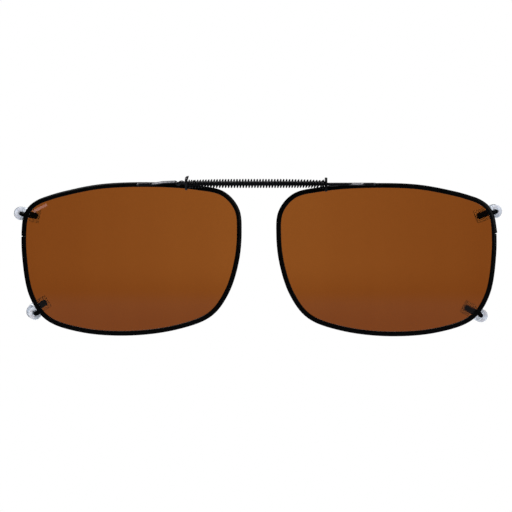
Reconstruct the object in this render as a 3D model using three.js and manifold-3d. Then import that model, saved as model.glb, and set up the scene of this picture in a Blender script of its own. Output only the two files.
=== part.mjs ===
// Clip-on sunglasses: two tinted lenses in thin wire rims, joined by a spring-loaded bridge of two
// sliding rods, with four sleeved wire hooks that grip a pair of spectacles from the front.
//
// Millimetres. +Z is up, +X is to the right seen from the front, and the front faces -Y.
// The origin is midway between the lenses, at mid-height of the lenses, level with the crown of
// each lens, which is the point of the lens that lies furthest forward.

import * as THREE from 'three';
import { mergeVertices } from 'three/addons/utils/BufferGeometryUtils.js';
import Module from 'manifold-3d';

const wasm = await Module();
wasm.setup();

// ---- Driving dimensions ----

// The rims are brazed to the bridge by hand, so the right one sits a little wide and low, and is
// turned a little. The centre is [x, z], with x measured outwards, and the turn is in radians with
// the nose side going up. Each rim wire is closed by a butt joint at its seam height.
const EYES = {
  left: { side: -1, centre: [33.8, 0], turn: 0, seam: 5.9 },
  right: { side: 1, centre: [34.1, -0.2], turn: -0.015, seam: 6.7 },
};

const LENS_CURVE_RADIUS = 177;
const LENS_THICKNESS = 0.85;
const LENS_EDGE_BEVEL = 0.15;
// How far the lens reaches past its visible edge, into the groove of the rim.
const LENS_INSERT = 0.38;

// The visible edge of a lens about its centre: +x towards the nose, +z up.
const LENS_OUTLINE = [
  [28.0, 7.0], [27.4, 12.8], [24.0, 16.7], [17.5, 18.2], [7.0, 19.0], [-8.0, 18.55],
  [-18.0, 16.6], [-21.8, 15.5], [-24.4, 14.5], [-26.3, 13.15], [-27.4, 11.4], [-27.9, 9.0],
  [-27.9, 1.0], [-26.0, -9.6], [-22.0, -15.3], [-13.0, -18.4], [0.0, -19.2], [12.4, -17.5],
  [20.5, -14.3], [24.7, -8.7], [27.3, -0.5],
];
const OUTLINE_STEPS = 90;
// The lens faces have rings of points at these shares of the way from the centre to the edge.
const LENS_RINGS = [0.4, 0.75];

const RIM_WIDTH = 1.3;
const RIM_DEPTH = 1.7;
const RIM_CHAMFER = 0.28;
const GROOVE_WIDTH = 0.97;
const GROOVE_DEPTH = 0.45;
const SEAM_GAP = 0.12;
const SEAM_CUT_REACH = 8;

// The middle of the spring's axis. The bridge's own dimensions are measured from here.
const BRIDGE_CENTRE = [-0.66, -0.54, 19.97];
const ROD_DIAMETER = 0.8;
// The rods lie side by side inside the spring, at [y, z] from its axis.
const LEFT_ROD = [-0.37, 0.19];
const RIGHT_ROD = [0.37, -0.19];
const ROD_TAIL_X = 31.8;
// The tail of the left rod as [x, y, z] from its end to its straight stretch. It rises along the
// rim, dips in a sharp kink, and comes forward over a hump that stops the sliding plate.
const LEFT_TAIL = [
  [-31.8, 0.37, -0.29], [-26.85, 0.37, -0.1], [-24.95, 0.37, 0.22], [-21.5, 0.37, 0.38],
  [-20.8, 0.1, -0.22], [-19.85, -0.25, 0.41], [-19.1, -0.37, 0.19],
];

const PLATE_X = 18.6;
const PLATE_THICKNESS = 0.7;
const PLATE_HEIGHT = 3.8;
const PLATE_DEPTH = 2.4;
const PLATE_HOLE_DIAMETER = 1.0;
const PLATE_ARC_STEPS = 8;
// One plate sits higher than the other, and its top has been bent over the spring. The middle and
// the curl's start are heights above the spring's axis and above the plate's middle.
const PLATES = {
  left: { x: -PLATE_X, middle: 0.1, curl: 0.8 },
  right: { x: PLATE_X, middle: -0.3, curl: 0 },
};
const PLATE_CURL_START = 1.1;

const SPRING_DIAMETER = 2.5;
const SPRING_WIRE = 0.3;
const SPRING_TURNS = 47;
const SPRING_STEPS_PER_TURN = 8;

const HOOK_WIRE = 1.2;
const HOOK_FRONT_BEND = 0.65;
const HOOK_BACK_BEND = 2.0;
// Depth of the rear leg, which runs behind the spectacles' own rim.
const HOOK_LEG_Y = 9.6;
const SLEEVE_DIAMETER = 3.5;
const SLEEVE_BORE = 1.48;
const SLEEVE_START = 1.4;
const SLEEVE_OVERHANG = 0.5;

// The hooks are bent by hand, so no two are quite alike. Each row gives the eye that the hook is
// on, then [x, z] of its front corner, of its back corner and of the wire's end, with x measured
// outwards.
const HOOKS = {
  upper_left: { eye: 'left', front: [63.15, 11.9], back: [63.7, 12.15], tip: [58.9, 11.25] },
  lower_left: { eye: 'left', front: [59.25, -14.75], back: [60.6, -14.0], tip: [56.6, -11.5] },
  upper_right: { eye: 'right', front: [63.3, 12.5], back: [62.6, 12.8], tip: [58.3, 11.1] },
  lower_right: { eye: 'right', front: [59.3, -15.2], back: [59.35, -15.25], tip: [55.0, -12.9] },
};

// A hook's foot keeps this gap to the rim it is brazed to, and a rod's end to its stop plate.
const FOOT_GAP = 0.03;
const ROD_END_GAP = 0.1;

const BEND_STEPS = 5;
const LARGE_SECTION_SIDES = 10;
const SMALL_SECTION_SIDES = 8;
const SPRING_SECTION_SIDES = 4;
// Points closer together than this are one point.
const WELD_DISTANCE = 1e-4;

// ---- Materials ----

const enamel = { color: 0x0a0a0c, roughness: 0.25, metalness: 0.6 };
const steel = { color: 0x17171a, roughness: 0.3, metalness: 0.9 };
const tint = { color: 0x80461a, roughness: 0.05, metalness: 0.0 };
const vinyl = { color: 0xd8deea, roughness: 0.15, metalness: 0.0 };

const model = new THREE.Group();
const bridge = new THREE.Group();
bridge.position.set(...BRIDGE_CENTRE);
model.add(bridge);

function addPiece(name, geometry, finish, group = model) {
  const mesh = new THREE.Mesh(geometry, new THREE.MeshStandardMaterial(finish));
  mesh.name = name;
  group.add(mesh);
}

// ---- The eye shape ----

const BACKWARD = new THREE.Vector3(0, 1, 0);

const outlineCurve = new THREE.CatmullRomCurve3(
  LENS_OUTLINE.map(([x, z]) => new THREE.Vector3(x, 0, z)), true, 'centripetal');
const eyeShape = outlineCurve.getPoints(OUTLINE_STEPS).slice(0, OUTLINE_STEPS);

function wrapped(index) {
  return (index + 2 * OUTLINE_STEPS) % OUTLINE_STEPS;
}

// Unit vector pointing away from the lens at one point of the eye shape.
function outwardNormal(index) {
  const along = eyeShape[wrapped(index + 1)].clone().sub(eyeShape[wrapped(index - 1)]);
  return new THREE.Vector3(along.z, 0, -along.x).normalize();
}

// How far the domed lens falls back behind its crown at a place on it.
function domeDepth(x, z) {
  return LENS_CURVE_RADIUS - Math.sqrt(LENS_CURVE_RADIUS ** 2 - x ** 2 - z ** 2);
}

// The point of one eye's shape, moved outwards by an offset or scaled towards the lens centre.
function eyePoint({ side, centre, turn }, index, scale, offset) {
  const k = wrapped(side * index);
  const point = eyeShape[k].clone().multiplyScalar(scale);
  point.addScaledVector(outwardNormal(k), offset);
  const depth = domeDepth(point.x, point.z);
  point.applyAxisAngle(BACKWARD, -turn);
  return new THREE.Vector3(side * (centre[0] - point.x), depth, centre[1] + point.z);
}

// A body of revolution about Y is stretched into the eye shape: radii up to EYE_RADIUS scale with
// the outline, and what lies beyond becomes an even offset outside it.
const EYE_RADIUS = 20;

function eyeBody(profile, eye) {
  const points = profile.map(([radius, y]) => new THREE.Vector2(radius, y));
  const geometry = new THREE.LatheGeometry(points, OUTLINE_STEPS);
  const position = geometry.attributes.position;
  for (let i = 0; i < position.count; i += 1) {
    const x = position.getX(i);
    const z = position.getZ(i);
    const radius = Math.hypot(x, z);
    const turn = Math.atan2(x, z) / (2 * Math.PI);
    const scale = Math.min(radius / EYE_RADIUS, 1);
    const offset = Math.max(radius - EYE_RADIUS, 0);
    const point = eyePoint(eye, Math.round(turn * OUTLINE_STEPS), scale, offset);
    position.setXYZ(i, point.x, point.y + position.getY(i), point.z);
  }
  return geometry;
}

// ---- Lenses and rims ----

function lensProfile() {
  const face = LENS_THICKNESS / 2;
  const edge = face - LENS_EDGE_BEVEL;
  const reach = EYE_RADIUS + LENS_INSERT;
  const [inner, outer] = LENS_RINGS.map((share) => share * EYE_RADIUS);
  return [
    [0, -face], [inner, -face], [outer, -face], [EYE_RADIUS, -face], [reach, -edge],
    [reach, edge], [EYE_RADIUS, face], [outer, face], [inner, face], [0, face],
  ];
}

function rimProfile() {
  const half = RIM_DEPTH / 2;
  const shoulder = half - RIM_CHAMFER;
  const groove = GROOVE_WIDTH / 2;
  const inner = EYE_RADIUS;
  const outer = EYE_RADIUS + RIM_WIDTH;
  return [
    [inner, -shoulder], [inner + RIM_CHAMFER, -half], [outer - RIM_CHAMFER, -half],
    [outer, -shoulder], [outer, shoulder], [outer - RIM_CHAMFER, half],
    [inner + RIM_CHAMFER, half], [inner, shoulder], [inner, groove],
    [inner + GROOVE_DEPTH, groove], [inner + GROOVE_DEPTH, -groove], [inner, -groove],
    [inner, -shoulder],
  ];
}

function toSolid(geometry) {
  const bare = geometry.clone();
  bare.deleteAttribute('normal');
  bare.deleteAttribute('uv');
  const merged = mergeVertices(bare, WELD_DISTANCE);
  return new wasm.Manifold(new wasm.Mesh({
    numProp: 3,
    vertProperties: new Float32Array(merged.attributes.position.array),
    triVerts: new Uint32Array(merged.index.array),
  }));
}

function toGeometry(solid) {
  const { vertProperties, triVerts } = solid.getMesh();
  const geometry = new THREE.BufferGeometry();
  geometry.setAttribute('position', new THREE.BufferAttribute(vertProperties, 3));
  geometry.setIndex(new THREE.BufferAttribute(triVerts, 1));
  return geometry;
}

function cutSeam(geometry, { side, centre, seam }) {
  const temple = centre[0] - Math.min(...LENS_OUTLINE.map(([x]) => x));
  const slot = new THREE.BoxGeometry(SEAM_CUT_REACH, SEAM_CUT_REACH, SEAM_GAP);
  slot.translate(side * temple, domeDepth(temple - centre[0], 0), seam);
  return toGeometry(toSolid(geometry).subtract(toSolid(slot)));
}

for (const [word, eye] of Object.entries(EYES)) {
  addPiece(`${word}_lens`, eyeBody(lensProfile(), eye), tint);
  addPiece(`${word}_rim`, cutSeam(eyeBody(rimProfile(), eye), eye), enamel);
}

// ---- Bent wire ----

// The corners of a wire with each inner corner rounded to its own bend radius.
function roundCorners(corners, bendRadii) {
  const points = [corners[0]];
  bendRadii.forEach((radius, i) => {
    const corner = corners[i + 1];
    const before = corners[i].clone().sub(corner).normalize();
    const after = corners[i + 2].clone().sub(corner).normalize();
    const halfAngle = before.angleTo(after) / 2;
    const bisector = before.clone().add(after).normalize();
    const centre = corner.clone().addScaledVector(bisector, radius / Math.sin(halfAngle));
    const start = corner.clone().addScaledVector(before, radius / Math.tan(halfAngle)).sub(centre);
    const axis = start.clone().cross(bisector).normalize();
    const sweep = Math.PI - 2 * halfAngle;
    for (let step = 0; step <= BEND_STEPS; step += 1) {
      const turned = start.clone().applyAxisAngle(axis, -sweep * step / BEND_STEPS);
      points.push(turned.add(centre));
    }
  });
  points.push(corners.at(-1));
  return points;
}

// A path through given points, with one section at each point and no twist about the path: the
// section's second axis stays as near to the given direction as it can.
class WirePath extends THREE.Curve {
  constructor(points, steady) {
    super();
    this.points = points;
    this.steady = steady;
  }

  getSpacedPoints() {
    return this.points;
  }

  computeFrenetFrames() {
    const frames = { tangents: [], normals: [], binormals: [] };
    this.points.forEach((point, i) => {
      const ahead = this.points[Math.min(i + 1, this.points.length - 1)].clone().sub(point);
      const behind = point.clone().sub(this.points[Math.max(i - 1, 0)]);
      const tangent = ahead.normalize().add(behind.normalize()).normalize();
      const normal = this.steady.clone().cross(tangent).normalize();
      frames.tangents.push(tangent);
      frames.normals.push(normal);
      frames.binormals.push(tangent.clone().cross(normal));
    });
    return frames;
  }
}

function circlePoints(diameter, sides) {
  // A flat, not a corner, faces along each axis of the section.
  return Array.from({ length: sides }, (_, i) => {
    const angle = 2 * Math.PI * (i + 0.5) / sides;
    return new THREE.Vector2(Math.cos(angle), Math.sin(angle)).multiplyScalar(diameter / 2);
  });
}

function wireBody(points, steady, diameter, sides, bore = 0) {
  const section = new THREE.Shape(circlePoints(diameter, sides));
  if (bore > 0) {
    section.holes.push(new THREE.Path(circlePoints(bore, SMALL_SECTION_SIDES)));
  }
  const path = new WirePath(points, steady);
  return new THREE.ExtrudeGeometry(section, { steps: points.length - 1, extrudePath: path });
}

// ---- Bridge: two rods, each ending at a stop plate that slides on the other rod ----

const UP = new THREE.Vector3(0, 0, 1);
const rodEndX = PLATE_X - PLATE_THICKNESS / 2 - ROD_END_GAP;

function rodBody(points) {
  const path = points.map((point) => new THREE.Vector3(...point));
  return wireBody(path, UP, ROD_DIAMETER, SMALL_SECTION_SIDES);
}

const leftRodPoints = [...LEFT_TAIL, [rodEndX, ...LEFT_ROD]];
const rightRodPoints = [[-rodEndX, ...RIGHT_ROD], [ROD_TAIL_X, ...RIGHT_ROD]];
addPiece('left_rod', rodBody(leftRodPoints), steel, bridge);
addPiece('right_rod', rodBody(rightRodPoints), steel, bridge);

// A plate with round ends and a hole for the sliding rod, bent over at its top by its curl.
function stopPlate({ x, middle, curl }, [rodY, rodZ]) {
  const radius = PLATE_DEPTH / 2;
  const straight = PLATE_HEIGHT / 2 - radius;
  const shape = new THREE.Shape();
  shape.absarc(0, middle + straight, radius, 0, Math.PI);
  shape.absarc(0, middle - straight, radius, Math.PI, 2 * Math.PI);
  const hole = new THREE.Path();
  hole.absarc(rodY, rodZ, PLATE_HOLE_DIAMETER / 2, 0, 2 * Math.PI);
  shape.holes.push(hole);
  const plate = new THREE.ExtrudeGeometry(
    shape, { depth: PLATE_THICKNESS, bevelEnabled: false, curveSegments: PLATE_ARC_STEPS });
  plate.translate(0, 0, -PLATE_THICKNESS / 2);
  // The shape's axes become depth and height, and its thickness runs along X.
  plate.applyMatrix4(new THREE.Matrix4().set(0, 0, 1, 0, 1, 0, 0, 0, 0, 1, 0, 0, 0, 0, 0, 1));
  const position = plate.attributes.position;
  for (let i = 0; i < position.count; i += 1) {
    const past = Math.max(position.getZ(i) - middle - PLATE_CURL_START, 0);
    position.setX(i, position.getX(i) + curl * past ** 2);
  }
  return plate.translate(x, 0, 0);
}

addPiece('left_stop_plate', stopPlate(PLATES.left, LEFT_ROD), steel, bridge);
addPiece('right_stop_plate', stopPlate(PLATES.right, RIGHT_ROD), steel, bridge);

class Helix extends THREE.Curve {
  constructor(length, radius) {
    super();
    this.length = length;
    this.radius = radius;
  }

  getPoint(t) {
    const angle = 2 * Math.PI * SPRING_TURNS * t;
    return new THREE.Vector3(
      this.length * (t - 0.5), this.radius * Math.cos(angle), this.radius * Math.sin(angle));
  }
}

const springLength = 2 * (rodEndX - SPRING_WIRE / 2);
const springRadius = (SPRING_DIAMETER - SPRING_WIRE) / 2;
const springSection = new THREE.Shape(circlePoints(SPRING_WIRE, SPRING_SECTION_SIDES));
const spring = new THREE.ExtrudeGeometry(springSection, {
  steps: SPRING_TURNS * SPRING_STEPS_PER_TURN,
  extrudePath: new Helix(springLength, springRadius),
});
addPiece('bridge_spring', spring, steel, bridge);

// ---- Hooks and their sleeves ----

// The foot of a hook: the point of the rim's outer wall nearest to the hook's front corner, in
// front view, at the middle of the rim's depth there.
function footOnRim(eye, corner) {
  const wall = eyeShape.map(
    (_, index) => eyePoint(eye, index, 1, RIM_WIDTH + FOOT_GAP).setY(corner.y));
  const nearest = wall.map((point, index) => {
    const stretch = new THREE.Line3(point, wall[wrapped(index + 1)]);
    return stretch.closestPointToPoint(corner, true, new THREE.Vector3());
  });
  const foot = nearest.reduce(
    (best, point) => (point.distanceTo(corner) < best.distanceTo(corner) ? point : best));
  return foot.setY(domeDepth(eye.side * foot.x - eye.centre[0], foot.z - eye.centre[1]));
}

for (const [word, { eye: eyeWord, front, back, tip }] of Object.entries(HOOKS)) {
  const eye = EYES[eyeWord];
  const { side } = eye;
  const frontCorner = new THREE.Vector3(side * front[0], 0, front[1]);
  const foot = footOnRim(eye, frontCorner);
  frontCorner.y = foot.y;
  const backCorner = new THREE.Vector3(side * back[0], HOOK_LEG_Y, back[1]);
  const wireEnd = new THREE.Vector3(side * tip[0], HOOK_LEG_Y, tip[1]);
  const run = backCorner.clone().sub(frontCorner).normalize();
  const leg = wireEnd.clone().sub(backCorner).normalize();
  const bendAxis = run.clone().cross(leg).normalize();

  const wire = roundCorners(
    [foot, frontCorner, backCorner, wireEnd], [HOOK_FRONT_BEND, HOOK_BACK_BEND]);
  addPiece(`${word}_hook`, wireBody(wire, bendAxis, HOOK_WIRE, SMALL_SECTION_SIDES), enamel);

  const sleeveStart = frontCorner.clone().addScaledVector(run, SLEEVE_START);
  const sleeveEnd = wireEnd.clone().addScaledVector(leg, SLEEVE_OVERHANG);
  const tube = roundCorners([sleeveStart, backCorner, sleeveEnd], [HOOK_BACK_BEND]);
  addPiece(
    `${word}_sleeve`,
    wireBody(tube, bendAxis, SLEEVE_DIAMETER, LARGE_SECTION_SIDES, SLEEVE_BORE), vinyl);
}

export default model;
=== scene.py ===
"""Clip-on sunglasses: fine meshes, materials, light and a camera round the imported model."""

import math

import bmesh
import bpy
import numpy as np
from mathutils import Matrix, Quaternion, Vector


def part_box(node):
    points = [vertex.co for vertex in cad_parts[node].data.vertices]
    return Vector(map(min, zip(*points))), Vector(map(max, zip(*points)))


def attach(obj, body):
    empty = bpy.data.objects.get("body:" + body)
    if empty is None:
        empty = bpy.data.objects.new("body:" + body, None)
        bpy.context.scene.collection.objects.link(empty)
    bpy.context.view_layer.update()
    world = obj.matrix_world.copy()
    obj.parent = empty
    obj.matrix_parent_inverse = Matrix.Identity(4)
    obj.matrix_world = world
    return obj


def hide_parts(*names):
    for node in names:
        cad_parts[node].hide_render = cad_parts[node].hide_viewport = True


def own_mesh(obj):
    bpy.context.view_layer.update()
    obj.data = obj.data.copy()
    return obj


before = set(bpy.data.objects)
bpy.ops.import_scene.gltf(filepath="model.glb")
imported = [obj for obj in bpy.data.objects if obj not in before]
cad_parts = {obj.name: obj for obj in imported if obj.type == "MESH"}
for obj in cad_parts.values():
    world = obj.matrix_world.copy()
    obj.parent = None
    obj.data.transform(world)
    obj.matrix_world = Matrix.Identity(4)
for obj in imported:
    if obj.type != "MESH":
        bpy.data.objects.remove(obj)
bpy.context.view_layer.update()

# Lengths are in millimetres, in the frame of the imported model, and turned into metres as a mesh
# is made.
MM = 0.001
LEFT, RIGHT = -1, 1
BODY = {LEFT: "left_half", RIGHT: "right_half"}
WORD = {LEFT: "left", RIGHT: "right"}

# Each lens centre as [x, z] with x outwards, and the turn of the eye in radians, nose side up.
LENS_CENTRE = {LEFT: [33.8, 0.0], RIGHT: [34.1, -0.2]}
EYE_TURN = {LEFT: 0.0, RIGHT: -0.015}
LENS_CURVE_RADIUS = 177.0
LENS_THICKNESS = 0.85
LENS_INSERT = 0.38
LENS_EDGE_BEVEL = 0.13
# Points of a lens's visible edge about its centre, as [x, z] with x towards the nose.
LENS_OUTLINE = [
    [28.0, 7.0], [27.4, 12.8], [24.0, 16.7], [17.5, 18.2], [7.0, 19.0], [-8.0, 18.55],
    [-18.0, 16.6], [-21.8, 15.5], [-24.4, 14.5], [-26.3, 13.15], [-27.4, 11.4], [-27.9, 9.0],
    [-27.9, 1.0], [-26.0, -9.6], [-22.0, -15.3], [-13.0, -18.4], [0.0, -19.2], [12.4, -17.5],
    [20.5, -14.3], [24.7, -8.7], [27.3, -0.5],
]

RIM_WIDTH = 1.3
RIM_DEPTH = 1.7
RIM_OUTER_ROUNDING = 0.42
RIM_INNER_ROUNDING = 0.24
GROOVE_WIDTH = 0.97
GROOVE_DEPTH = 0.45
GROOVE_MOUTH_ROUNDING = 0.08
GROOVE_FLOOR_ROUNDING = 0.06
# The two ends of the rim's wire meet at the seam, where the wire is notched.
SEAM_HEIGHT = {LEFT: 5.9, RIGHT: 6.7}
SEAM_NOTCH = 0.4
SEAM_HALF_WIDTH = 0.16
# How far the upper wire end stands proud, and how soon that fades away above the seam.
SEAM_STEP = {LEFT: 0.0, RIGHT: 0.25}
SEAM_STEP_REACH = 1.5

# The bridge's own dimensions are measured from the middle of the spring's axis.
BRIDGE_CENTRE = np.array([-0.66, -0.54, 19.97])
ROD_RADIUS = 0.41
# Where the straight stretch of each rod lies, as (y, z).
LEFT_ROD = (-0.37, 0.19)
RIGHT_ROD = (0.37, -0.19)
ROD_TAIL_X = 31.8
ROD_END_X = 18.4
# The tail of the left rod as (x, y, z), from its end to its straight stretch.
LEFT_TAIL = [
    (-31.8, 0.37, -0.29), (-26.85, 0.37, -0.1), (-24.95, 0.37, 0.22), (-21.5, 0.37, 0.38),
    (-20.8, 0.1, -0.22), (-19.85, -0.25, 0.41), (-19.1, -0.37, 0.19),
]
LEFT_TAIL_BENDS = [1.5, 1.5, 0.42, 0.42, 0.42, 0.8]
# The crimped kink in the left tail is broader than the plain wire.
KINK_X = -20.5
KINK_SWELL = 0.1
KINK_REACH = 0.7
# How far the rounding of an end, and the extra points that carry it, reach along a wire.
ROD_END_ROUNDING = 0.18
ROD_END_DETAIL = 0.2

PLATE_X = 18.6
PLATE_THICKNESS = 0.7
PLATE_HEIGHT = 3.8
PLATE_DEPTH = 2.4
PLATE_HOLE_RADIUS = 0.42
# How far a plate's middle is above the spring's axis, and how strongly its top is bent over.
PLATE_MIDDLE = {LEFT: 0.1, RIGHT: -0.3}
PLATE_CURL = {LEFT: 0.8, RIGHT: 0.0}
PLATE_CURL_START = 1.1
# The bevel of the edges, and how far in the ring lies that rounds it.
PLATE_BEVEL = 0.13
PLATE_KNEE = 0.04
PLATE_HOLE_BEVEL = 0.06

SPRING_RADIUS = 1.085
SPRING_WIRE_RADIUS = 0.165
SPRING_TURNS = 49
SPRING_CLOSED_TURNS = {LEFT: 3.2, RIGHT: 1.3}
# The lean of the coils in radians in the middle, and what it grows by towards the ends. Over the
# last turns at each end it fades away.
SPRING_LEAN = 0.12
SPRING_END_LEAN = 0.55
SPRING_LEAN_FADE_TURNS = 2
# How far the spring's ends hang below its middle.
SPRING_BOW = 0.2
# Turns that just miss each other, as a multiple of the wire's radius.
SPRING_CLOSED_PITCH = 2.1

HOOK_RADIUS = 0.6
HOOK_FRONT_BEND = 0.65
HOOK_BACK_BEND = 2.0
HOOK_LEG_Y = 9.6
HOOK_TIP_ROUNDING = 0.25
HOOK_TIP_DETAIL = 0.3
# The brazing swells each hook's foot, which sinks a little into the rim.
FOOT_SWELL = 0.16
FOOT_SWELL_REACH = 0.12
FOOT_SINK = 0.05
SLEEVE_RADIUS = 1.75
# The bore is loose round the front part of the wire and grips its rear leg.
SLEEVE_BORE_RADIUS = 0.78
SLEEVE_GRIP_RADIUS = 0.59
SLEEVE_START = 1.4
SLEEVE_OVERHANG = 0.5
SLEEVE_END_ROUNDING = 0.16
SLEEVE_END_DETAIL = 0.18
SLEEVE_BORE_FLARE = 0.1

# Side, then [x, z] of the front corner, of the back corner and of the wire's end, x outwards.
HOOKS = {
    "upper_left": (LEFT, [63.15, 11.9], [63.7, 12.15], [58.9, 11.25]),
    "lower_left": (LEFT, [59.25, -14.75], [60.6, -14.0], [56.6, -11.5]),
    "upper_right": (RIGHT, [63.3, 12.5], [62.6, 12.8], [58.3, 11.1]),
    "lower_right": (RIGHT, [59.3, -15.2], [59.35, -15.25], [55.0, -12.9]),
}


# ---- Mesh making ----


def add_mesh(name, points, faces, sharp_degrees=40):
    """A smooth-shaded object from points in millimetres, with its faces turned outwards."""
    mesh = bpy.data.meshes.new(name)
    mesh.from_pydata([tuple(np.array(p) * MM) for p in points], [], faces)
    shell = bmesh.new()
    shell.from_mesh(mesh)
    bmesh.ops.recalc_face_normals(shell, faces=shell.faces)
    shell.to_mesh(mesh)
    shell.free()
    mesh.shade_smooth()
    mesh.set_sharp_from_angle(angle=math.radians(sharp_degrees))
    piece = bpy.data.objects.new(name, mesh)
    bpy.context.scene.collection.objects.link(piece)
    return piece


def skin(name, rings, wrap=False, sharp_degrees=40):
    """A closed body through rings of points. Its ends are capped, unless it wraps on itself."""
    count = len(rings[0])
    points = [p for ring in rings for p in ring]
    faces = []
    spans = len(rings) if wrap else len(rings) - 1
    for u in range(spans):
        here = u * count
        there = (u + 1) % len(rings) * count
        for v in range(count):
            w = (v + 1) % count
            faces.append((here + v, here + w, there + w, there + v))
    if not wrap:
        faces.append(tuple(range(count)))
        faces.append(tuple(range(len(points) - count, len(points))))
    return add_mesh(name, points, faces, sharp_degrees)


def unit(vector):
    vector = np.asarray(vector, float)
    return vector / np.linalg.norm(vector)


def round_corners(corners, bend_radii, bend_steps=14, spacing=0.35):
    """The corners of a wire joined by straight legs and round bends, as close points."""
    corners = [np.asarray(c, float) for c in corners]
    points = [corners[0]]

    def straight_to(end):
        start = points[-1]
        steps = max(1, int(np.linalg.norm(end - start) / spacing))
        points.extend(start + (end - start) * i / steps for i in range(1, steps + 1))

    for i, radius in enumerate(bend_radii):
        corner = corners[i + 1]
        before = unit(corners[i] - corner)
        after = unit(corners[i + 2] - corner)
        half_angle = math.acos(float(np.clip(before @ after, -1, 1))) / 2
        bisector = unit(before + after)
        centre = corner + bisector * radius / math.sin(half_angle)
        arm = corner + before * radius / math.tan(half_angle) - centre
        across = unit(-before) * radius
        sweep = math.pi - 2 * half_angle
        straight_to(centre + arm)
        for step in range(1, bend_steps + 1):
            angle = sweep * step / bend_steps
            points.append(centre + arm * math.cos(angle) + across * math.sin(angle))
    straight_to(corners[-1])
    return np.array(points)


def sections(path, steady):
    """The two unit axes of the section at each point, steady about the path."""
    tangents = np.gradient(path, axis=0)
    tangents /= np.linalg.norm(tangents, axis=1)[:, None]
    normals = np.cross(np.asarray(steady, float), tangents)
    normals /= np.linalg.norm(normals, axis=1)[:, None]
    return normals, np.cross(tangents, normals)


def tube_rings(path, steady, radii, sides=24):
    """Round rings along a path. Radii is one number, or one for each point."""
    normals, binormals = sections(path, steady)
    radii = np.broadcast_to(radii, len(path))
    angles = np.arange(sides) * 2 * math.pi / sides
    around = np.cos(angles)[None, :, None] * normals[:, None, :]
    around = around + np.sin(angles)[None, :, None] * binormals[:, None, :]
    return list(path[:, None, :] + around * radii[:, None, None])


def arc_lengths(path):
    steps = np.linalg.norm(np.diff(path, axis=0), axis=1)
    return np.concatenate([[0], np.cumsum(steps)])


def rounded_ends(path, radius, start=0.0, end=0.0):
    """Radii that fall away over the last stretch at each end, as on a tumbled wire end."""
    along = arc_lengths(path)
    radii = np.full(len(path), float(radius))
    for distance, size in ((along, start), (along[-1] - along, end)):
        if size > 0:
            near = np.clip(1 - distance / size, 0, 1)
            radii -= size * (1 - np.sqrt(np.clip(1 - near**2, 0, 1)))
    return radii


def with_end_detail(path, size, steps=6):
    """The path with extra points close to its ends, so that a rounded end has room to bend."""
    close = size * (1 - np.cos(np.linspace(0, math.pi / 2, steps + 1)[1:]))
    along = arc_lengths(path)
    places = np.concatenate([[0], close, along, along[-1] - close])
    places = np.unique(np.round(places, 4))
    return np.column_stack([np.interp(places, along, path[:, k]) for k in range(3)])


# ---- The eye shape ----

OUTLINE_STEPS = 60
SMOOTHING_PASSES = 30
# What lies beyond this on a lens is on its temple side.
TEMPLE_SIDE_X = -20.0


def closed_curve(control, steps):
    """A centripetal Catmull-Rom curve through a closed ring of points."""
    control = np.array(control, float)
    points = []
    for i in range(len(control)):
        p0, p1, p2, p3 = (control[(i + k) % len(control)] for k in (-1, 0, 1, 2))
        d0, d1, d2 = (math.sqrt(np.linalg.norm(b - a)) for a, b in ((p0, p1), (p1, p2), (p2, p3)))
        m1 = ((p1 - p0) / d0 - (p2 - p0) / (d0 + d1) + (p2 - p1) / d1) * d1
        m2 = ((p2 - p1) / d1 - (p3 - p1) / (d1 + d2) + (p3 - p2) / d2) * d1
        for t in np.arange(steps) / steps:
            points.append(
                (2 * t**3 - 3 * t**2 + 1) * p1 + (t**3 - 2 * t**2 + t) * m1
                + (3 * t**2 - 2 * t**3) * p2 + (t**3 - t**2) * m2
            )
    return np.array(points)


def smoothed(points, passes):
    for _ in range(passes):
        points = (np.roll(points, 1, axis=0) + 2 * points + np.roll(points, -1, axis=0)) / 4
    return points


class EyeShape:
    """The visible edge of a lens about its centre, +x towards the nose, by arc length."""

    def __init__(self):
        dense = smoothed(closed_curve(LENS_OUTLINE, OUTLINE_STEPS), SMOOTHING_PASSES)
        steps = np.linalg.norm(np.roll(dense, -1, axis=0) - dense, axis=1)
        self.along = np.concatenate([[0], np.cumsum(steps)])
        self.length = self.along[-1]
        self.points = np.vstack([dense, dense[:1]])
        turned = np.roll(dense, -1, axis=0) - np.roll(dense, 1, axis=0)
        turned /= np.linalg.norm(turned, axis=1)[:, None]
        normals = np.column_stack([turned[:, 1], -turned[:, 0]])
        self.normals = np.vstack([normals, normals[:1]])

    def at(self, places):
        """Points and outward normals at distances along the edge."""
        places = np.mod(places, self.length)
        points = np.column_stack([np.interp(places, self.along, self.points[:, k]) for k in (0, 1)])
        normals = np.column_stack([np.interp(places, self.along, self.normals[:, k]) for k in (0, 1)])
        return points, normals / np.linalg.norm(normals, axis=1)[:, None]

    def temple_place(self, side, height):
        """Where along the edge the temple side of one eye passes a height."""
        temple = np.where(self.points[:, 0] < TEMPLE_SIDE_X)[0]
        heights = place(side, self.points[temple], 0)[:, 2]
        return self.along[temple[np.argmin(np.abs(heights - height))]]


eye = EyeShape()


def dome(points):
    return LENS_CURVE_RADIUS - np.sqrt(LENS_CURVE_RADIUS**2 - (points**2).sum(axis=-1))


def place(side, points, depth):
    """Points about a lens centre, at a depth behind the domed middle surface, in the frame."""
    centre_x, centre_z = LENS_CENTRE[side]
    cos, sin = math.cos(EYE_TURN[side]), math.sin(EYE_TURN[side])
    x = centre_x - cos * points[..., 0] + sin * points[..., 1]
    z = centre_z + sin * points[..., 0] + cos * points[..., 1]
    return np.stack([side * x, dome(points) + depth, z], axis=-1)


# ---- Materials ----


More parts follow.
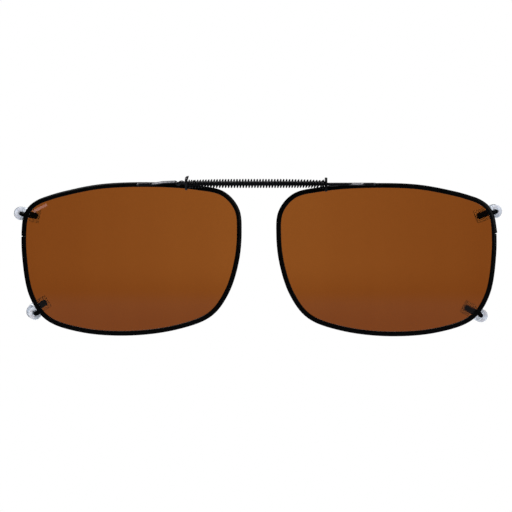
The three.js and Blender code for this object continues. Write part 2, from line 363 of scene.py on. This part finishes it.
class Shader:
    """A Principled material and the few node shapes that its looks are made from."""

    def __init__(self, name, **values):
        self.material = bpy.data.materials.new(name)
        self.material.use_nodes = True
        self.tree = self.material.node_tree
        self.principled = self.tree.nodes["Principled BSDF"]
        for socket, value in values.items():
            self.principled.inputs[socket].default_value = value
        self.coordinates = self.tree.nodes.new("ShaderNodeTexCoord").outputs["Object"]

    def link(self, source, socket):
        self.tree.links.new(source, self.principled.inputs[socket])

    def stretched(self, scale):
        mapping = self.tree.nodes.new("ShaderNodeMapping")
        mapping.inputs["Scale"].default_value = scale
        self.tree.links.new(self.coordinates, mapping.inputs["Vector"])
        return mapping.outputs["Vector"]

    def noise(self, scale, detail=3.0, roughness=0.5, stretch=None):
        node = self.tree.nodes.new("ShaderNodeTexNoise")
        node.inputs["Scale"].default_value = scale
        node.inputs["Detail"].default_value = detail
        node.inputs["Roughness"].default_value = roughness
        source = self.stretched(stretch) if stretch else self.coordinates
        self.tree.links.new(source, node.inputs["Vector"])
        return node.outputs["Fac"]

    def ramp(self, source, *stops):
        node = self.tree.nodes.new("ShaderNodeValToRGB")
        elements = node.color_ramp.elements
        while len(elements) < len(stops):
            elements.new(0.5)
        for element, (position, colour) in zip(elements, stops):
            element.position = position
            element.color = (*colour, 1) if hasattr(colour, "__len__") else (colour,) * 3 + (1,)
        self.tree.links.new(source, node.inputs["Fac"])
        return node.outputs["Color"]

    def axes(self):
        node = self.tree.nodes.new("ShaderNodeSeparateXYZ")
        self.tree.links.new(self.coordinates, node.inputs["Vector"])
        return node.outputs

    def maths(self, operation, *sources):
        node = self.tree.nodes.new("ShaderNodeMath")
        node.operation = operation
        for source, socket in zip(sources, node.inputs):
            self.tree.links.new(source, socket)
        return node.outputs["Value"]

    def mixed(self, share, first, second):
        node = self.tree.nodes.new("ShaderNodeMix")
        node.data_type = "RGBA"
        for source, socket in ((share, "Factor"), (first, "A"), (second, "B")):
            self.tree.links.new(source, node.inputs[socket])
        return node.outputs["Result"]

    def spread(self, source, old, new, interpolation="LINEAR"):
        """One range of values stretched onto another and held at its ends."""
        node = self.tree.nodes.new("ShaderNodeMapRange")
        node.interpolation_type = interpolation
        for socket, value in zip(("From Min", "From Max", "To Min", "To Max"), (*old, *new)):
            node.inputs[socket].default_value = value
        self.tree.links.new(source, node.inputs["Value"])
        return node.outputs["Result"]

    def bump(self, height, distance):
        node = self.tree.nodes.new("ShaderNodeBump")
        node.inputs["Distance"].default_value = distance
        self.tree.links.new(height, node.inputs["Height"])
        self.link(node.outputs["Normal"], "Normal")


def black_enamel():
    look = Shader("black_enamel", **{"Specular IOR Level": 0.12})
    clouds = look.noise(450, 4)
    blacks = look.ramp(clouds, (0.35, (0.0004, 0.0004, 0.0005)), (0.7, (0.0012, 0.0012, 0.0014)))
    look.link(blacks, "Base Color")
    look.link(look.ramp(look.noise(900, 2), (0.3, 0.22), (0.75, 0.3)), "Roughness")
    look.bump(look.noise(1300, 1), 2e-6)
    return look.material


# Stretches of X, in millimetres, where a lighter bare-metal colour paints the rods' highlights (the
# glints on their flats, kink and cut ends), and the share of that colour mixed in.
PAINTED_GLINTS = [
    (-32.6, -32.1, 1.0), (-28.9, -21.9, 0.3), (-21.4, -19.3, 0.6), (24.2, 28.0, 1.0),
    (30.8, 31.3, 1.0),
]
PAINTED_GLINT_EDGE = 0.3


def black_steel():
    look = Shader("black_steel", **{"Metallic": 1.0})
    drawn = look.noise(900, 5, 0.6, stretch=(0.06, 1, 1))
    x, _, _ = look.axes()
    glint_share = None
    for low, high, share in PAINTED_GLINTS:
        rises = look.spread(x, ((low - PAINTED_GLINT_EDGE) * MM, low * MM), (0.0, share), "SMOOTHSTEP")
        falls = look.spread(x, (high * MM, (high + PAINTED_GLINT_EDGE) * MM), (1.0, 0.0), "SMOOTHSTEP")
        patch = look.maths("MULTIPLY", rises, falls)
        glint_share = patch if glint_share is None else look.maths("MAXIMUM", glint_share, patch)
    plated = look.ramp(drawn, (0.3, (0.016, 0.016, 0.018)), (0.75, (0.045, 0.045, 0.048)))
    # The lighter metal colour is painted highlight: it paints the glints on the rods' flats, kink and
    # cut ends.
    glint_colour = look.ramp(drawn, (0.3, (0.08, 0.08, 0.085)), (0.75, (0.17, 0.17, 0.18)))
    look.link(look.mixed(glint_share, plated, glint_colour), "Base Color")
    look.link(look.ramp(look.noise(2200, 3), (0.3, 0.22), (0.75, 0.4)), "Roughness")
    look.bump(drawn, 8e-6)
    return look.material


def tinted_lens():
    """Brown that is a little deeper low down and towards the temples, with faint streaks."""
    look = Shader("tinted_lens", **{"Transmission Weight": 1.0, "IOR": 1.5, "Roughness": 0.0})
    x, _, z = look.axes()
    height = look.spread(z, (-0.019, 0.0), (0.0, 1.0), "SMOOTHSTEP")
    nearness = look.spread(look.maths("ABSOLUTE", x), (0.006, 0.062), (1.0, 0.4))
    streaks = look.spread(look.noise(110, 2, stretch=(1, 1, 0.04)), (0.3, 0.7), (-0.05, 0.05))
    pale = look.maths("ADD", look.maths("MULTIPLY", height, nearness), streaks)
    browns = look.ramp(pale, (0.0, (0.194, 0.0467, 0.0059)), (1.0, (0.273, 0.080, 0.0127)))
    look.link(browns, "Base Color")
    look.bump(look.noise(60, 1), 2e-6)
    return look.material


# The depths, in metres, between which the sleeves turn from milky to clear.
MILKY_END = (0.0046, 0.0058)


def clear_sleeve():
    """Bluish and clear, but milky at the cut front ends."""
    look = Shader("clear_sleeve", **{"IOR": 1.42})
    _, y, _ = look.axes()
    look.link(look.spread(y, MILKY_END, (0.4, 1.0), "SMOOTHSTEP"), "Transmission Weight")
    clouds = look.noise(500, 2)
    look.link(look.ramp(clouds, (0.3, (0.72, 0.81, 0.96)), (0.7, (0.86, 0.91, 1.0))), "Base Color")
    polish = look.spread(y, MILKY_END, (0.16, 0.03), "SMOOTHSTEP")
    scuffs = look.spread(clouds, (0.3, 0.7), (-0.02, 0.03))
    look.link(look.maths("ADD", polish, scuffs), "Roughness")
    look.bump(look.noise(500, 1), 2e-6)
    return look.material


ENAMEL = black_enamel()
STEEL = black_steel()
LENS = tinted_lens()
SLEEVE = clear_sleeve()


def finish_piece(piece, material, side, node):
    """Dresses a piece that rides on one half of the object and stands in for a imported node."""
    piece.data.materials.append(material)
    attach(piece, BODY[side])
    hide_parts(node)


# ---- Lenses and rims ----

LENS_EDGE_STEPS = 300
# The sizes of the rings across a face of the lens, as shares of its outline.
LENS_RING_SCALES = np.concatenate([[0.02], np.linspace(0.08, 1, 24)])


def make_lens(side):
    """A domed lens whose bevelled edge sits in the rim's groove."""
    points, normals = eye.at(np.arange(LENS_EDGE_STEPS) * eye.length / LENS_EDGE_STEPS)
    face = LENS_THICKNESS / 2
    bevel = LENS_EDGE_BEVEL
    rings = [place(side, points * s, -face) for s in LENS_RING_SCALES]
    rings.append(place(side, points + normals * (LENS_INSERT - bevel), -face))
    rings.append(place(side, points + normals * LENS_INSERT, -face + bevel))
    rings.append(place(side, points + normals * LENS_INSERT, face - bevel))
    rings.append(place(side, points + normals * (LENS_INSERT - bevel), face))
    rings += [place(side, points * s, face) for s in LENS_RING_SCALES[::-1]]
    word = WORD[side]
    piece = skin(f"{word}_lens_polished", rings)
    # The bright table seen through a lens must not show up in the wires that mirror the lens.
    piece.visible_glossy = False
    finish_piece(piece, LENS, side, f"{word}_lens")


def rounded_profile(corners, steps=5):
    """A closed outline in the plane whose corners are rounded, each by its own radius."""
    outline = []
    for i, (x, y, radius) in enumerate(corners):
        here = np.array([x, y])
        back = unit(np.array(corners[i - 1][:2]) - here)
        ahead = unit(np.array(corners[(i + 1) % len(corners)][:2]) - here)
        for t in np.linspace(0, math.pi / 2, steps):
            outline.append(here + radius * (back * (1 - math.sin(t)) + ahead * (1 - math.cos(t))))
    return np.array(outline)


# Distances along the eye of the rings close to the seam, and the spacing of the others.
NEAR_SEAM = [-1.6, -0.9, -0.45, -0.2, -0.15, -0.08, 0, 0.08, 0.15, 0.2, 0.45, 0.9, 1.6]
FIRST_FAR_RING = 2.1
LAST_FAR_RING = 2.0
RIM_SPACING = 0.42


def make_rim(side):
    """A grooved wire round a lens, with a notched seam on the temple side."""
    half = RIM_DEPTH / 2
    lip = GROOVE_WIDTH / 2
    profile = rounded_profile([
        (0, -half, RIM_INNER_ROUNDING),
        (RIM_WIDTH, -half, RIM_OUTER_ROUNDING),
        (RIM_WIDTH, half, RIM_OUTER_ROUNDING),
        (0, half, RIM_INNER_ROUNDING),
        (0, lip, GROOVE_MOUTH_ROUNDING),
        (GROOVE_DEPTH, lip, GROOVE_FLOOR_ROUNDING),
        (GROOVE_DEPTH, -lip, GROOVE_FLOOR_ROUNDING),
        (0, -lip, GROOVE_MOUTH_ROUNDING),
    ])
    seam = eye.temple_place(side, SEAM_HEIGHT[side])
    far = np.arange(FIRST_FAR_RING, eye.length - LAST_FAR_RING, RIM_SPACING)
    from_seam = np.concatenate([NEAR_SEAM, far])
    points, normals = eye.at(seam + from_seam)
    distance = np.minimum(np.abs(from_seam), eye.length - np.abs(from_seam))
    notch = SEAM_NOTCH * np.clip(1 - distance / SEAM_HALF_WIDTH, 0, 1)
    # The eye shape runs up the nose side, over the top and down the temple side, so what lies
    # before the seam is above it. There the wire's end may stand proud.
    above = np.where(from_seam < 0, -from_seam, eye.length - from_seam)
    step = SEAM_STEP[side] * np.exp(-above / SEAM_STEP_REACH) * (from_seam != 0)
    # The notch and the step grow from nothing at the lens to the whole at the outside of the wire.
    share = np.clip(profile[:, 0] / RIM_WIDTH, 0, 1)
    rings = []
    for k in range(len(from_seam)):
        offset = profile[:, 0] + share * (step[k] - notch[k])
        depth = profile[:, 1] * (1 - share * notch[k] / RIM_DEPTH)
        rings.append(place(side, points[k] + normals[k] * offset[:, None], depth))
    word = WORD[side]
    piece = skin(f"{word}_rim_wire", rings, wrap=True, sharp_degrees=60)
    finish_piece(piece, ENAMEL, side, f"{word}_rim")


for side in (LEFT, RIGHT):
    make_lens(side)
    make_rim(side)


# ---- Bridge ----

UP = (0, 0, 1)
# Where pliers held the rods, they have flats that face up and forward.
ROD_FLAT = {LEFT: (-28.1, -21.4), RIGHT: (25.0, 28.5)}
ROD_FLAT_NORMAL = unit((-0.09, -0.87, 0.48))
ROD_FLAT_REACH = 0.29
ROD_FLAT_RUN_OUT = 0.3
# How finely the plates and the spring are cut up.
PLATE_STEPS = 48
SPRING_STEPS_PER_TURN = 28
SPRING_WIRE_SIDES = 10


def pressed_flat(rings, path, span, normal, reach):
    """Rings with a flat across one side of them wherever the path lies in a span of X."""
    for ring, middle in zip(rings, path):
        inside = min(middle[0] - span[0], span[1] - middle[0])
        ease = np.clip(inside / ROD_FLAT_RUN_OUT, 0, 1)
        proud = np.clip((ring - middle) @ normal - reach, 0, None)
        ring -= ease * proud[:, None] * normal
    return rings


def make_rods():
    """The left rod with its bent tail, and the straight right rod."""
    left = [*LEFT_TAIL, (ROD_END_X, *LEFT_ROD)]
    right = [(-ROD_END_X, *RIGHT_ROD), (ROD_TAIL_X, *RIGHT_ROD)]
    for side, corners, bends in ((LEFT, left, LEFT_TAIL_BENDS), (RIGHT, right, [])):
        path = round_corners(corners, bends, bend_steps=8, spacing=0.15)
        path = with_end_detail(path, ROD_END_DETAIL)
        radii = rounded_ends(path, ROD_RADIUS, ROD_END_ROUNDING, ROD_END_ROUNDING)
        radii += KINK_SWELL * np.exp(-((path[:, 0] - KINK_X) / KINK_REACH) ** 2)
        rings = tube_rings(path, UP, radii)
        rings = pressed_flat(rings, path, ROD_FLAT[side], ROD_FLAT_NORMAL, ROD_FLAT_REACH)
        word = WORD[side]
        piece = skin(f"{word}_rod_wire", [ring + BRIDGE_CENTRE for ring in rings])
        finish_piece(piece, STEEL, side, f"{word}_rod")


def make_stop_plate(side, hole, body_side):
    """A plate with round ends and a hole for the sliding rod. Its top may be curled over."""
    turn = np.arange(PLATE_STEPS) * 2 * math.pi / PLATE_STEPS
    radius = PLATE_DEPTH / 2
    straight = PLATE_HEIGHT / 2 - radius
    outer = np.column_stack([np.cos(turn), np.sin(turn)])
    raised = np.where(np.sin(turn) >= 0, straight, -straight)
    shift = np.column_stack([np.zeros(PLATE_STEPS), raised])
    middle = np.array([0, PLATE_MIDDLE[side]])
    hole = np.array(hole) - middle
    half = PLATE_THICKNESS / 2
    bevel = PLATE_BEVEL
    knee = PLATE_KNEE
    mouth = PLATE_HOLE_RADIUS + PLATE_HOLE_BEVEL

    def ring(outline, x):
        past = np.clip(outline[:, 1] - PLATE_CURL_START, 0, None)
        x = side * PLATE_X + x + PLATE_CURL[side] * past**2
        return np.column_stack([x, outline + middle]) + BRIDGE_CENTRE

    rings = [
        ring(hole + outer * mouth, -half),
        ring(outer * (radius - bevel) + shift, -half),
        ring(outer * (radius - knee) + shift, -half + knee),
        ring(outer * radius + shift, -half + bevel),
        ring(outer * radius + shift, half - bevel),
        ring(outer * (radius - knee) + shift, half - knee),
        ring(outer * (radius - bevel) + shift, half),
        ring(hole + outer * mouth, half),
        ring(hole + outer * PLATE_HOLE_RADIUS, half - PLATE_HOLE_BEVEL),
        ring(hole + outer * PLATE_HOLE_RADIUS, -half + PLATE_HOLE_BEVEL),
    ]
    word = WORD[side]
    piece = skin(f"{word}_stop_plate_pressed", rings, wrap=True)
    finish_piece(piece, STEEL, body_side, f"{word}_stop_plate")


def make_spring():
    """A helix with closed turns at its ends."""
    low, high = (corner.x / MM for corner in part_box("bridge_spring"))
    low += SPRING_WIRE_RADIUS
    high -= SPRING_WIRE_RADIUS
    closed_pitch = SPRING_CLOSED_PITCH * SPRING_WIRE_RADIUS
    closed_turns = sum(SPRING_CLOSED_TURNS.values())
    open_turns = SPRING_TURNS - closed_turns
    open_pitch = (high - low - closed_turns * closed_pitch) / open_turns
    turns = np.linspace(0, SPRING_TURNS, SPRING_TURNS * SPRING_STEPS_PER_TURN + 1)
    in_open = np.clip(turns - SPRING_CLOSED_TURNS[LEFT], 0, open_turns)
    angle = 2 * math.pi * turns
    axis = np.zeros((len(turns), 3))
    axis[:, 0] = low + closed_pitch * (turns - in_open) + open_pitch * in_open
    axis[:, 1:] = BRIDGE_CENTRE[1:]
    from_middle = np.abs(turns / SPRING_TURNS - 0.5) * 2
    to_end = np.minimum(turns, SPRING_TURNS - turns)
    lean = SPRING_LEAN + SPRING_END_LEAN * from_middle**2
    lean *= np.clip(to_end / SPRING_LEAN_FADE_TURNS, 0, 1)
    axis[:, 2] -= SPRING_BOW * from_middle**4
    outward = np.column_stack([
        np.sin(lean) * np.sin(angle),
        np.cos(angle),
        np.cos(lean) * np.sin(angle),
    ])
    path = axis + SPRING_RADIUS * outward
    tangents = np.gradient(path, axis=0)
    tangents /= np.linalg.norm(tangents, axis=1)[:, None]
    outward -= (outward * tangents).sum(axis=1)[:, None] * tangents
    outward /= np.linalg.norm(outward, axis=1)[:, None]
    beside = np.cross(tangents, outward)
    sides = np.arange(SPRING_WIRE_SIDES) * 2 * math.pi / SPRING_WIRE_SIDES
    around = np.cos(sides)[None, :, None] * outward[:, None]
    around = around + np.sin(sides)[None, :, None] * beside[:, None]
    rings = list(path[:, None, :] + SPRING_WIRE_RADIUS * around)
    piece = skin("bridge_spring_coils", rings)
    finish_piece(piece, STEEL, LEFT, "bridge_spring")
    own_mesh(piece)


make_rods()
make_stop_plate(LEFT, LEFT_ROD, RIGHT)
make_stop_plate(RIGHT, RIGHT_ROD, LEFT)
make_spring()


# ---- Hooks and sleeves ----

HOOK_SIDES = 32
SLEEVE_SIDES = 48
SLEEVE_BEND_STEPS = 20
RIM_SEARCH_STEPS = 2000


def foot_on_rim(side, corner):
    """The point just inside the rim's outer wall that is nearest to a corner in front view."""
    points, normals = eye.at(np.linspace(0, eye.length, RIM_SEARCH_STEPS))
    wall = place(side, points + normals * (RIM_WIDTH - FOOT_SINK), 0)
    gaps = np.hypot(wall[:, 0] - corner[0], wall[:, 2] - corner[2])
    return wall[np.argmin(gaps)]


def make_hook(word, side, front, back, tip):
    """A hook's bent wire, and the tube pushed over its rear part."""
    front_corner = np.array([side * front[0], 0, front[1]])
    foot = foot_on_rim(side, front_corner)
    front_corner[1] = foot[1]
    back_corner = np.array([side * back[0], HOOK_LEG_Y, back[1]])
    wire_end = np.array([side * tip[0], HOOK_LEG_Y, tip[1]])
    run = unit(back_corner - front_corner)
    leg = unit(wire_end - back_corner)
    bend_axis = unit(np.cross(run, leg))

    corners = [foot, front_corner, back_corner, wire_end]
    wire = round_corners(corners, [HOOK_FRONT_BEND, HOOK_BACK_BEND])
    wire = with_end_detail(wire, HOOK_TIP_DETAIL)
    radii = rounded_ends(wire, HOOK_RADIUS, 0, HOOK_TIP_ROUNDING)
    radii += FOOT_SWELL * np.exp(-arc_lengths(wire) / FOOT_SWELL_REACH)
    piece = skin(f"{word}_hook_wire", tube_rings(wire, bend_axis, radii, HOOK_SIDES))
    finish_piece(piece, ENAMEL, side, f"{word}_hook")

    sleeve_start = front_corner + run * SLEEVE_START
    sleeve_end = wire_end + leg * SLEEVE_OVERHANG
    corners = [sleeve_start, back_corner, sleeve_end]
    path = round_corners(corners, [HOOK_BACK_BEND], SLEEVE_BEND_STEPS)
    path = with_end_detail(path, SLEEVE_END_DETAIL)
    radii = rounded_ends(path, SLEEVE_RADIUS, SLEEVE_END_ROUNDING, SLEEVE_END_ROUNDING)
    outer = tube_rings(path, bend_axis, radii, SLEEVE_SIDES)
    grip = np.clip((path[:, 1] - HOOK_LEG_Y + HOOK_BACK_BEND) / HOOK_BACK_BEND, 0, 1)
    bore = SLEEVE_BORE_RADIUS + grip * (SLEEVE_GRIP_RADIUS - SLEEVE_BORE_RADIUS)
    flare = SLEEVE_RADIUS - rounded_ends(path, SLEEVE_RADIUS, SLEEVE_BORE_FLARE, SLEEVE_BORE_FLARE)
    inner = tube_rings(path, bend_axis, bore + flare, SLEEVE_SIDES)
    piece = skin(f"{word}_sleeve_tube", outer + inner[::-1], wrap=True)
    finish_piece(piece, SLEEVE, side, f"{word}_sleeve")


for word, (side, front, back, tip) in HOOKS.items():
    make_hook(word, side, front, back, tip)


# ---- Floor, light and camera ----

FLOOR_DROP = 0.5
FLOOR_SIZE = 12.0
VIEW_CENTRE = Vector((-0.00069, 0.0, 0.00067))
VIEW_WIDTH = 0.1362
VIEW_DISTANCE = 2.5

# What polished pieces mirror of the flags above, and of the table below. Between the two heights
# of the direction, one turns into the other.
MIRRORED_FLAGS = (0.03, 0.03, 0.03, 1)
MIRRORED_TABLE = (0.16, 0.175, 0.2, 1)
TABLE_LIGHT_STARTS = -0.09
TABLE_LIGHT_FULL = -0.15


def make_floor():
    bpy.ops.mesh.primitive_grid_add(x_subdivisions=8, y_subdivisions=8, size=FLOOR_SIZE)
    floor = bpy.context.object
    floor.name = "studio_floor"
    floor.location.z = -FLOOR_DROP
    look = Shader("pale_floor", **{"Roughness": 0.9})
    greys = look.ramp(look.noise(3, 2), (0.3, (0.86, 0.86, 0.85)), (0.7, (0.9, 0.9, 0.89)))
    look.link(greys, "Base Color")
    floor.data.materials.append(look.material)
    floor.visible_glossy = False


def make_world():
    """White all round, but dim in what mirrors it, as black flags round a studio table do.

    What looks down past the flags mirrors a little of the table's cool light.
    """
    world = bpy.data.worlds.new("studio")
    bpy.context.scene.world = world
    world.use_nodes = True
    tree = world.node_tree
    nodes, links = tree.nodes, tree.links
    direction = nodes.new("ShaderNodeTexCoord")
    height = nodes.new("ShaderNodeSeparateXYZ")
    links.new(direction.outputs["Generated"], height.inputs["Vector"])
    below = nodes.new("ShaderNodeMapRange")
    below.interpolation_type = "SMOOTHSTEP"
    below.inputs["From Min"].default_value = TABLE_LIGHT_STARTS
    below.inputs["From Max"].default_value = TABLE_LIGHT_FULL
    links.new(height.outputs["Z"], below.inputs["Value"])
    mirror = nodes.new("ShaderNodeMix")
    mirror.data_type = "RGBA"
    mirror.inputs["A"].default_value = MIRRORED_FLAGS
    mirror.inputs["B"].default_value = MIRRORED_TABLE
    links.new(below.outputs["Result"], mirror.inputs["Factor"])

    path = nodes.new("ShaderNodeLightPath")
    mirrored = nodes.new("ShaderNodeMath")
    mirrored.operation = "MULTIPLY"
    links.new(path.outputs["Is Glossy Ray"], mirrored.inputs[0])
    links.new(path.outputs["Is Reflection Ray"], mirrored.inputs[1])
    seen = nodes.new("ShaderNodeMix")
    seen.data_type = "RGBA"
    seen.inputs["A"].default_value = (1, 1, 1, 1)
    links.new(mirror.outputs["Result"], seen.inputs["B"])
    links.new(mirrored.outputs["Value"], seen.inputs["Factor"])
    links.new(seen.outputs["Result"], nodes["Background"].inputs["Color"])


def add_softbox(name, location, size, power, target=(0, 0, 0), roll=0.0, colour=(1, 1, 1)):
    """A lamp that lights and is mirrored, but isn't seen directly or through anything clear."""
    data = bpy.data.lights.new(name, "AREA")
    data.shape = "RECTANGLE"
    data.size, data.size_y = size
    data.energy = power
    data.color = colour
    lamp = bpy.data.objects.new(name, data)
    lamp.location = location
    direction = Vector(target) - Vector(location)
    facing = direction.to_track_quat("-Z", "Y") @ Quaternion((0, 0, 1), math.radians(roll))
    lamp.rotation_euler = facing.to_euler()
    lamp.visible_camera = False
    lamp.visible_transmission = False
    bpy.context.scene.collection.objects.link(lamp)


def make_camera():
    data = bpy.data.cameras.new("photo_view")
    data.sensor_width = 36
    data.lens = data.sensor_width * VIEW_DISTANCE / VIEW_WIDTH
    data.clip_end = 50
    camera = bpy.data.objects.new("photo_view", data)
    camera.location = VIEW_CENTRE + Vector((0, -VIEW_DISTANCE, 0))
    camera.rotation_euler = (math.pi / 2, 0, 0)
    bpy.context.scene.collection.objects.link(camera)
    bpy.context.scene.camera = camera


make_floor()
make_world()
add_softbox("key", location=(-0.25, -0.5, 0.8), size=(0.5, 0.3), power=4.0)
add_softbox("fill", location=(0.6, -0.7, 0.3), size=(0.3, 0.5), power=1.5)
add_softbox("back", location=(0.0, 0.7, 0.6), size=(0.6, 0.3), power=2.0)
# A small strip light that the upper outer corner of the left lens mirrors.
add_softbox(
    "strip",
    location=(-0.208, -0.48, 0.092),
    size=(0.028, 0.0045),
    power=0.0012,
    target=(-0.0575, 0, 0.0146),
    roll=29,
    colour=(1.0, 0.66, 0.68),
)
make_camera()
bpy.context.scene.view_settings.view_transform = "Standard"
